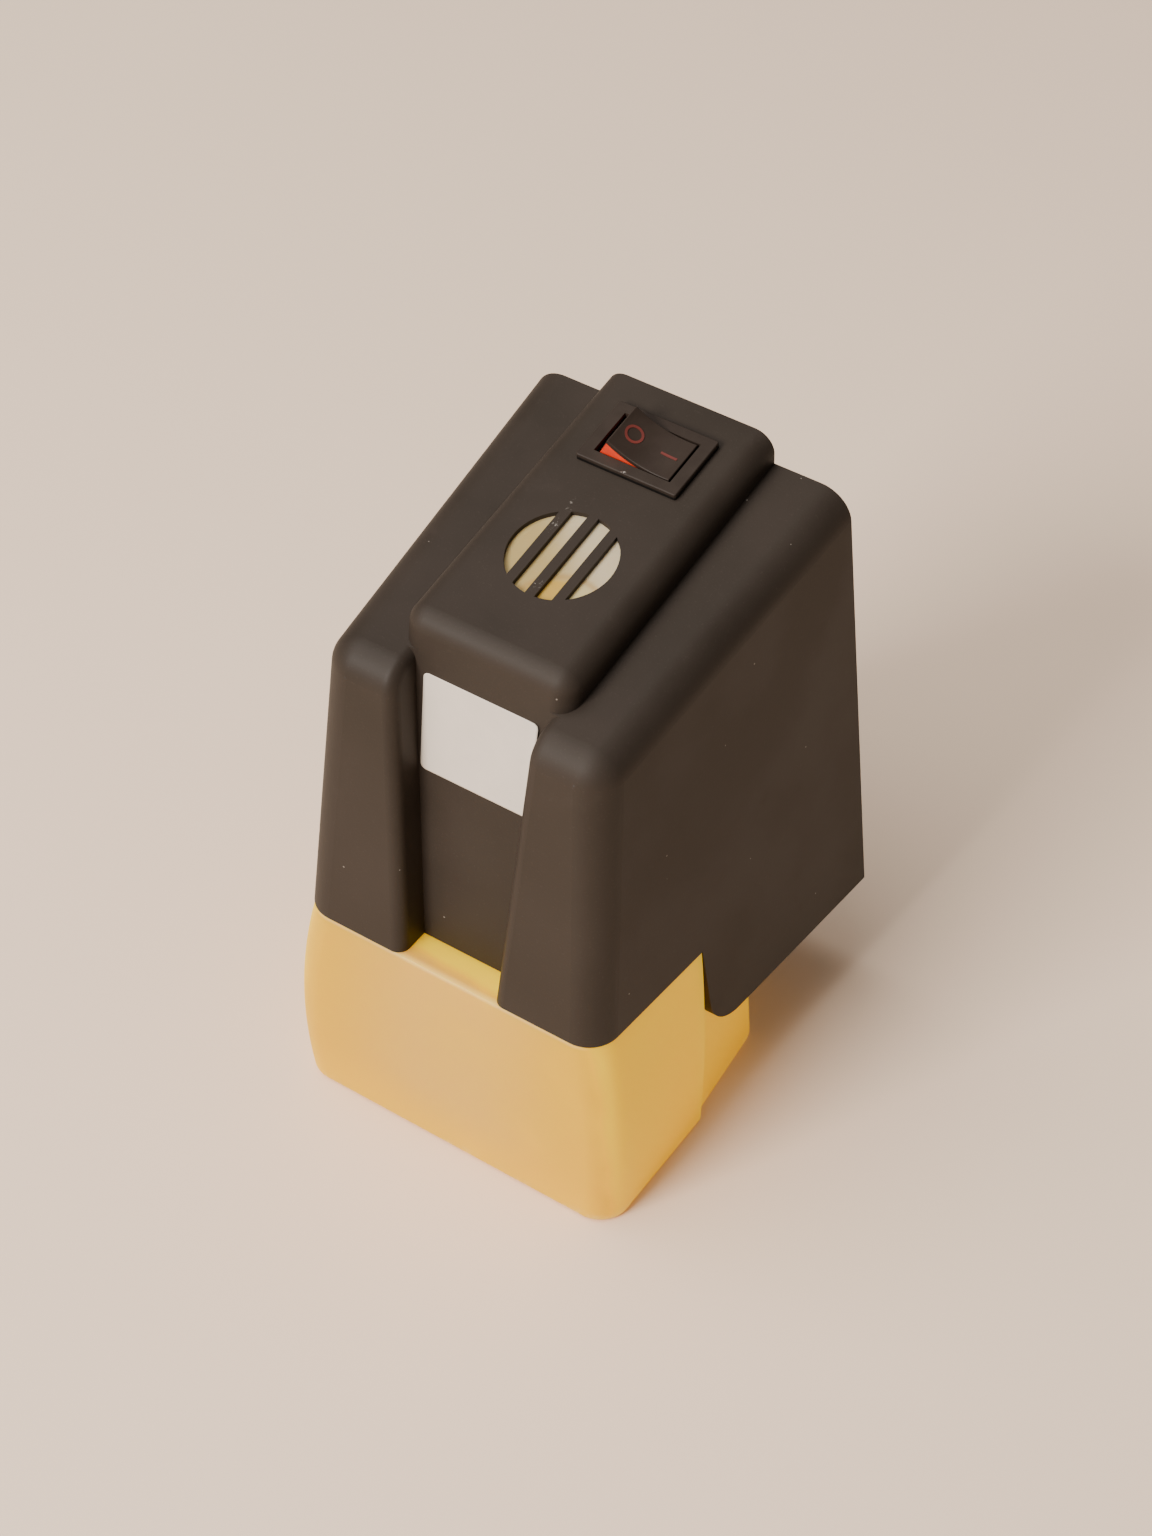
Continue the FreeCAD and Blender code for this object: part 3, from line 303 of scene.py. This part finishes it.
def diffuser_film():
    """Milky disc behind the grille: pale to the back right, beige to the front left, golden inside
    an arc near its front edge, with a darker line along the arc."""
    f = Finish("diffuser film", IOR=1.45, Subsurface_Weight=0.4, Subsurface_Scale=0.004,
               Subsurface_Radius=(1.0, 0.7, 0.35))
    right = f.axis("X") - DISC_X
    back = f.axis("Y") - DISC_Y
    cloud = f.noise(180, 3, 0.6)
    drift = (cloud - 0.5) * 0.004
    colour = f.blend(f.ramp(back + right * 0.9 + drift, -0.005, 0.009),
                     (0.40, 0.290, 0.110), (0.52, 0.420, 0.265))

    from_arc = f.away(ARC_CENTRE, (1, 1, 0)) + drift * 0.25
    gold = f.blend(f.ramp(right, 0.003, 0.007), (0.50, 0.30, 0.040), (0.54, 0.43, 0.20))
    colour = f.blend(f.ramp(from_arc, ARC_RADIUS, ARC_RADIUS - 0.0016) * 0.85, colour, gold)
    line = f.ramp(from_arc, ARC_RADIUS - 0.0010, ARC_RADIUS) * f.ramp(from_arc, ARC_RADIUS + 0.0012, ARC_RADIUS)
    colour = f.blend(line * 0.5, colour, (0.36, 0.20, 0.04))
    colour = f.blend(f.ramp(f.noise(320, 2, 0.5), 0.55, 0.75) * 0.18, colour, (0.38, 0.29, 0.17))
    f.wear(Base_Color=colour, Roughness=f.ramp(cloud, 0.3, 0.7, 0.45, 0.6),
           Normal=f.bump(cloud, 0.0002, 0.4))
    return f


def label_paper():
    """Blank off-white label stock with a faint fibre and a few grey specks."""
    f = Finish("label paper", IOR=1.45)
    fibre = f.noise(1400, 4, 0.7)
    cloud = f.noise(120, 4, 0.6)
    colour = f.blend(f.ramp(cloud, 0.35, 0.75) * 0.5, (0.66, 0.585, 0.505), (0.60, 0.53, 0.455))
    colour = f.blend(f.ramp(fibre, 0.55, 0.8) * 0.25, colour, (0.56, 0.52, 0.47))
    colour = f.blend(f.specks(420, 0.07, 0.05) * 0.5, colour, (0.40, 0.36, 0.32))
    f.wear(Base_Color=colour, Roughness=f.ramp(cloud, 0.3, 0.7, 0.50, 0.62),
           Normal=f.bump(fibre, 0.00002, 0.4))
    return f


def board_laminate():
    """Green laminate with paler tracks under the varnish and off-white lands."""
    f = Finish("board laminate", IOR=1.5, Coat_Weight=0.3, Coat_Roughness=0.2)
    tracks = f.node("ShaderNodeTexBrick", {"offset": 0.5},
                    {"Vector": f.turned((0, 0, 0), (np.pi / 2, 0, 0)), "Scale": 190.0, "Mortar Size": 0.06,
                     "Color1": (0, 0, 0), "Color2": (1, 1, 1), "Mortar": (0.4, 0.4, 0.4)})
    track = f.node("ShaderNodeSeparateColor", None, {0: tracks}, output=0)
    cloud = f.noise(300, 2)
    colour = f.blend(f.ramp(track, 0.3, 0.7) * 0.45, (0.012, 0.085, 0.030), (0.035, 0.170, 0.060))
    colour = f.blend(f.specks(260, 0.16, 0.35) * 0.8, colour, (0.62, 0.60, 0.52))
    f.wear(Base_Color=colour, Roughness=f.ramp(cloud, 0.3, 0.7, 0.34, 0.46),
           Normal=f.bump(track, 0.00003, 0.4))
    return f


def metal(name, colour, second, roughness, packing=(1, 1, 30)):
    """Bare metal with a slow tarnish and fine lines, packed close along the direction of the large scale."""
    f = Finish(name, Metallic=1.0)
    lines = f.noise(900, 3, 0.6, f.turned((0, 0, 0), scale=packing))
    cloud = f.noise(160, 3, 0.6)
    f.wear(Base_Color=f.blend(f.ramp(cloud, 0.35, 0.75), colour, second),
           Roughness=f.ramp(lines, 0.3, 0.7, roughness, roughness + 0.14),
           Normal=f.bump(lines, 0.00001, 0.4))
    return f


def battery_jacket():
    """Plain two-tone battery jacket: grey body, copper-toned band at the snap end."""
    band_height, band_edge = 0.0140, 0.0002
    f = Finish("battery jacket", IOR=1.5, Coat_Weight=0.35, Coat_Roughness=0.25)
    band = f.ramp(f.axis("Z"), BATTERY_TOP - band_height, BATTERY_TOP - band_height + band_edge)
    cloud = f.noise(120, 3, 0.6)
    colour = f.blend(band, (0.030, 0.032, 0.036), (0.46, 0.22, 0.09))
    colour = f.blend(f.ramp(cloud, 0.5, 0.8) * 0.3, colour, (0.10, 0.10, 0.10))
    f.wear(Base_Color=colour, Roughness=f.ramp(cloud, 0.3, 0.7, 0.30, 0.42),
           Metallic=f.ramp(cloud, 0, 1, 0.25, 0.35))
    return f


def windings():
    """Enamelled copper wire, turn beside turn round the rod: the height of each turn rises and
    falls evenly along X, over one wire's radius each way."""
    wire_radius = 0.00018
    f = Finish("windings", IOR=1.5, Coat_Weight=0.6, Coat_Roughness=0.15, Metallic=0.5)
    rise = f.node("ShaderNodeMath", {"operation": "PINGPONG"}, {0: f.axis("X"), 1: wire_radius})
    turns = rise / wire_radius
    cloud = f.noise(300, 3, 0.6)
    # painted shade and highlight: darker in the grooves between turns, lighter on their crests
    colour = f.blend(turns, (0.16, 0.045, 0.015), (0.56, 0.21, 0.075))
    colour = f.blend(f.ramp(cloud, 0.5, 0.8) * 0.3, colour, (0.35, 0.12, 0.04))
    f.wear(Base_Color=colour, Roughness=f.ramp(cloud, 0.3, 0.7, 0.28, 0.38),
           Normal=f.bump(turns, 0.00012, 0.7))
    return f


finish_of_slot = {
    "hood_plastic": hood_shell(),
    "base_plastic": frosted_base(),
    "switch_plastic": switch_black(),
    "rocker_red": moulded("rocker red", (0.80, 0.060, 0.018), (0.70, 0.045, 0.014), 0.30,
                          Subsurface_Weight=0.25, Subsurface_Scale=0.002,
                          Subsurface_Radius=(1.0, 0.25, 0.1)),
    "rocker_black": moulded("rocker black", (0.025, 0.0165, 0.0122), (0.031, 0.0210, 0.0158), 0.44,
                            Specular_IOR_Level=0.22),
    "mark_red": moulded("mark red", (0.150, 0.021, 0.0145), (0.105, 0.017, 0.0125), 0.5),
    "contact_brass": metal("contact brass", (0.80, 0.58, 0.26), (0.66, 0.46, 0.20), 0.26),
    "diffuser_plastic": diffuser_film(),
    "holder_plastic": moulded("holder grey", (0.060, 0.058, 0.056), (0.075, 0.072, 0.069), 0.5),
    "sounder_plastic": moulded("sounder black", (0.022, 0.021, 0.021), (0.030, 0.029, 0.028), 0.45),
    "label_paper": label_paper(),
    "board_laminate": board_laminate(),
    "chip_plastic": moulded("chip body", (0.020, 0.020, 0.021), (0.030, 0.030, 0.031), 0.55),
    "capacitor_sleeve": moulded("capacitor sleeve", (0.020, 0.024, 0.120), (0.026, 0.030, 0.150), 0.28),
    "lamp_plastic": moulded("lamp red", (0.85, 0.10, 0.050), (0.75, 0.08, 0.040), 0.16,
                            Transmission_Weight=0.6),
    "screw_steel": metal("screw steel", (0.56, 0.56, 0.55), (0.44, 0.43, 0.42), 0.30, (1, 30, 1)),
    "ferrite": moulded("ferrite", (0.045, 0.046, 0.050), (0.070, 0.070, 0.074), 0.48, 900),
    "winding_copper": windings(),
    "battery_jacket": battery_jacket(),
    "snap_plastic": moulded("snap black", (0.026, 0.026, 0.026), (0.034, 0.034, 0.034), 0.5),
}
slot_of_node = {part["node"]: part["material_slot"] for part in frame["record"]["subparts"]}
for node, piece in frame["nodes"].items():
    piece.data.materials.clear()
    piece.data.materials.append(finish_of_slot[slot_of_node[node]].material)


# ---- the label -------------------------------------------------------------
def signed_volume(points, cells):
    """Sum over the cells' two triangles of a . (b x c) / 6: positive where the cells look outwards."""
    first, second, third, fourth = (points[cells[:, i]] for i in range(4))
    one = np.einsum("ij,ij->i", first, np.cross(second, third))
    two = np.einsum("ij,ij->i", first, np.cross(third, fourth))
    return (one + two).sum() / 6


def closed_sheet(name, face, back):
    """Closed thin sheet from two point grids of one shape, each (rows, columns, 3).

    The face's cells are joined in order, the back's in reverse order, and one strip of cells joins
    the two grids round their common border. A negative volume means that the sheet is inside out,
    and its normals are then turned.
    """
    rows, columns = face.shape[:2]
    count = rows * columns
    points = np.concatenate([face.reshape(-1, 3), back.reshape(-1, 3)])
    index = np.arange(count).reshape(rows, columns)
    cells = np.stack([index[:-1, :-1], index[:-1, 1:], index[1:, 1:], index[1:, :-1]], -1).reshape(-1, 4)
    border = np.concatenate([index[0, :-1], index[:-1, -1], index[-1, :0:-1], index[:0:-1, 0]])
    following = np.roll(border, -1)
    strip = np.stack([following, border, border + count, following + count], -1)
    cells = np.concatenate([cells, cells[:, ::-1] + count, strip])

    mesh = bpy.data.meshes.new(name)
    mesh.from_pydata(points.tolist(), [], cells.tolist())
    mesh.validate()
    if signed_volume(points, cells) < 0:
        mesh.flip_normals()
    mesh.polygons.foreach_set("use_smooth", np.ones(len(mesh.polygons), dtype=bool))
    mesh.update()
    sheet = bpy.data.objects.new(name, mesh)
    bpy.context.collection.objects.link(sheet)
    return sheet


def label_sheet():
    """Label stock on the channel wall: a rounded rectangle, its right edge lifting off in a soft curl.

    Across from -1 to 1 and up from -1 to 1. The half width at each height shrinks inside the two end
    rounds by the circle's formula. Over the last part of the width s runs from 0 to 1: the lift from
    the wall and the draw back to the left both grow with s^2, most of all half way up, and the sheet
    leans back with the wall.
    """
    solid_thickness = 0.00025       # of the flat solid that this sheet stands for
    half_thickness = 0.00012
    sunk = 0.00010                  # the sheet's middle behind the solid's middle
    corner = 0.0011
    curl_start = 0.72               # share of the half width where the edge starts to lift
    curl_lift, curl_draw = 0.00055, 0.00045
    curl_fall = 0.6                 # how much less the top and bottom corners lift
    round_share, straight_share = 0.16, 0.80

    low, high = (np.array(side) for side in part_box("label"))
    half_width = (high[0] - low[0]) / 2
    lean = np.arctan2(high[1] - low[1] - solid_thickness, high[2] - low[2])
    half_height = (high[2] - low[2]) / 2 / np.cos(lean)
    rightward = np.array([1, 0, 0])
    outward = np.array([0, -np.cos(lean), np.sin(lean)])
    upward = np.array([0, np.sin(lean), np.cos(lean)])

    rows = np.concatenate([np.linspace(-1, round_share - 1, 9),
                           np.linspace(-straight_share, straight_share, 15),
                           np.linspace(1 - round_share, 1, 9)])
    columns = np.linspace(-1, 1, 41)
    up = (rows * half_height)[:, None]
    into_round = np.clip(np.abs(up) - (half_height - corner), 0, corner)
    reach = half_width - corner + np.sqrt(corner ** 2 - into_round ** 2)
    across = columns * reach
    along_curl = np.clip((across / half_width - curl_start) / (1 - curl_start), 0, 1)
    curl = along_curl ** 2 * (1 - curl_fall * (up / half_height) ** 2)

    middle = (low + high) / 2 - outward * sunk
    points = (middle + (across - curl_draw * curl)[..., None] * rightward
              + up[..., None] * upward + (curl_lift * curl)[..., None] * outward)
    sheet = closed_sheet("label_sheet", points + outward * half_thickness, points - outward * half_thickness)
    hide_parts("label")
    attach(sheet, "housing")
    sheet.data.materials.append(finish_of_slot["label_paper"].material)


label_sheet()


# ---- studio ----------------------------------------------------------------
WARM_WHITE = (1.0, 0.955, 0.905)


def floor():
    """Square of pale floor, far wider than the view, with a hardly visible mottling."""
    reach = 3.0
    corners = [(-reach, -reach, 0), (reach, -reach, 0), (reach, reach, 0), (-reach, reach, 0)]
    mesh = bpy.data.meshes.new("floor")
    mesh.from_pydata(corners, [], [(0, 1, 2, 3)])
    plane = bpy.data.objects.new("floor", mesh)
    bpy.context.collection.objects.link(plane)
    f = Finish("floor", Roughness=0.8)
    f.wear(Base_Color=f.blend(f.noise(14, 3), (0.90, 0.695, 0.530), (0.92, 0.715, 0.550)))
    mesh.materials.append(f.material)


def soft_lamp(name, place, aim, size, power):
    """Square soft box at a place, facing its aim."""
    lamp = bpy.data.lights.new(name, "AREA")
    lamp.shape = "SQUARE"
    lamp.size = size
    lamp.energy = power
    lamp.color = WARM_WHITE
    box = bpy.data.objects.new(name, lamp)
    box.location = place
    box.rotation_euler = (Vector(aim) - Vector(place)).to_track_quat("-Z", "Y").to_euler()
    bpy.context.collection.objects.link(box)


def even_sky():
    """The same faint warm light from everywhere."""
    world = bpy.data.worlds.new("even sky")
    world.use_nodes = True
    sky = world.node_tree.nodes["Background"]
    sky.inputs["Color"].default_value = WARM_WHITE + (1.0,)
    sky.inputs["Strength"].default_value = 0.21
    bpy.context.scene.world = world


def camera():
    """Looks down on the front right corner. Its right hand is level with the floor, and up is
    square to both, right x ahead."""
    eye_place = (0.23992, -0.35519, 0.49827)
    ahead = Vector((-0.39584, 0.58665, -0.70651))
    right = Vector((0.82896, 0.55931, 0.0))
    upward = right.cross(ahead)
    lens = bpy.data.cameras.new("camera")
    lens.lens = 74.59
    lens.sensor_width = 36.0
    eye = bpy.data.objects.new("camera", lens)
    turn = Matrix((right, upward, -ahead)).transposed().to_4x4()
    eye.matrix_world = Matrix.Translation(eye_place) @ turn
    bpy.context.collection.objects.link(eye)
    bpy.context.scene.camera = eye


floor()
soft_lamp("front box", (-0.36, -1.40, 1.00), (0, 0, 0.05), size=0.7, power=43.0)
soft_lamp("overhead box", (-0.50, -0.38, 1.70), (0, 0, 0), size=1.4, power=31.0)
even_sky()
camera()
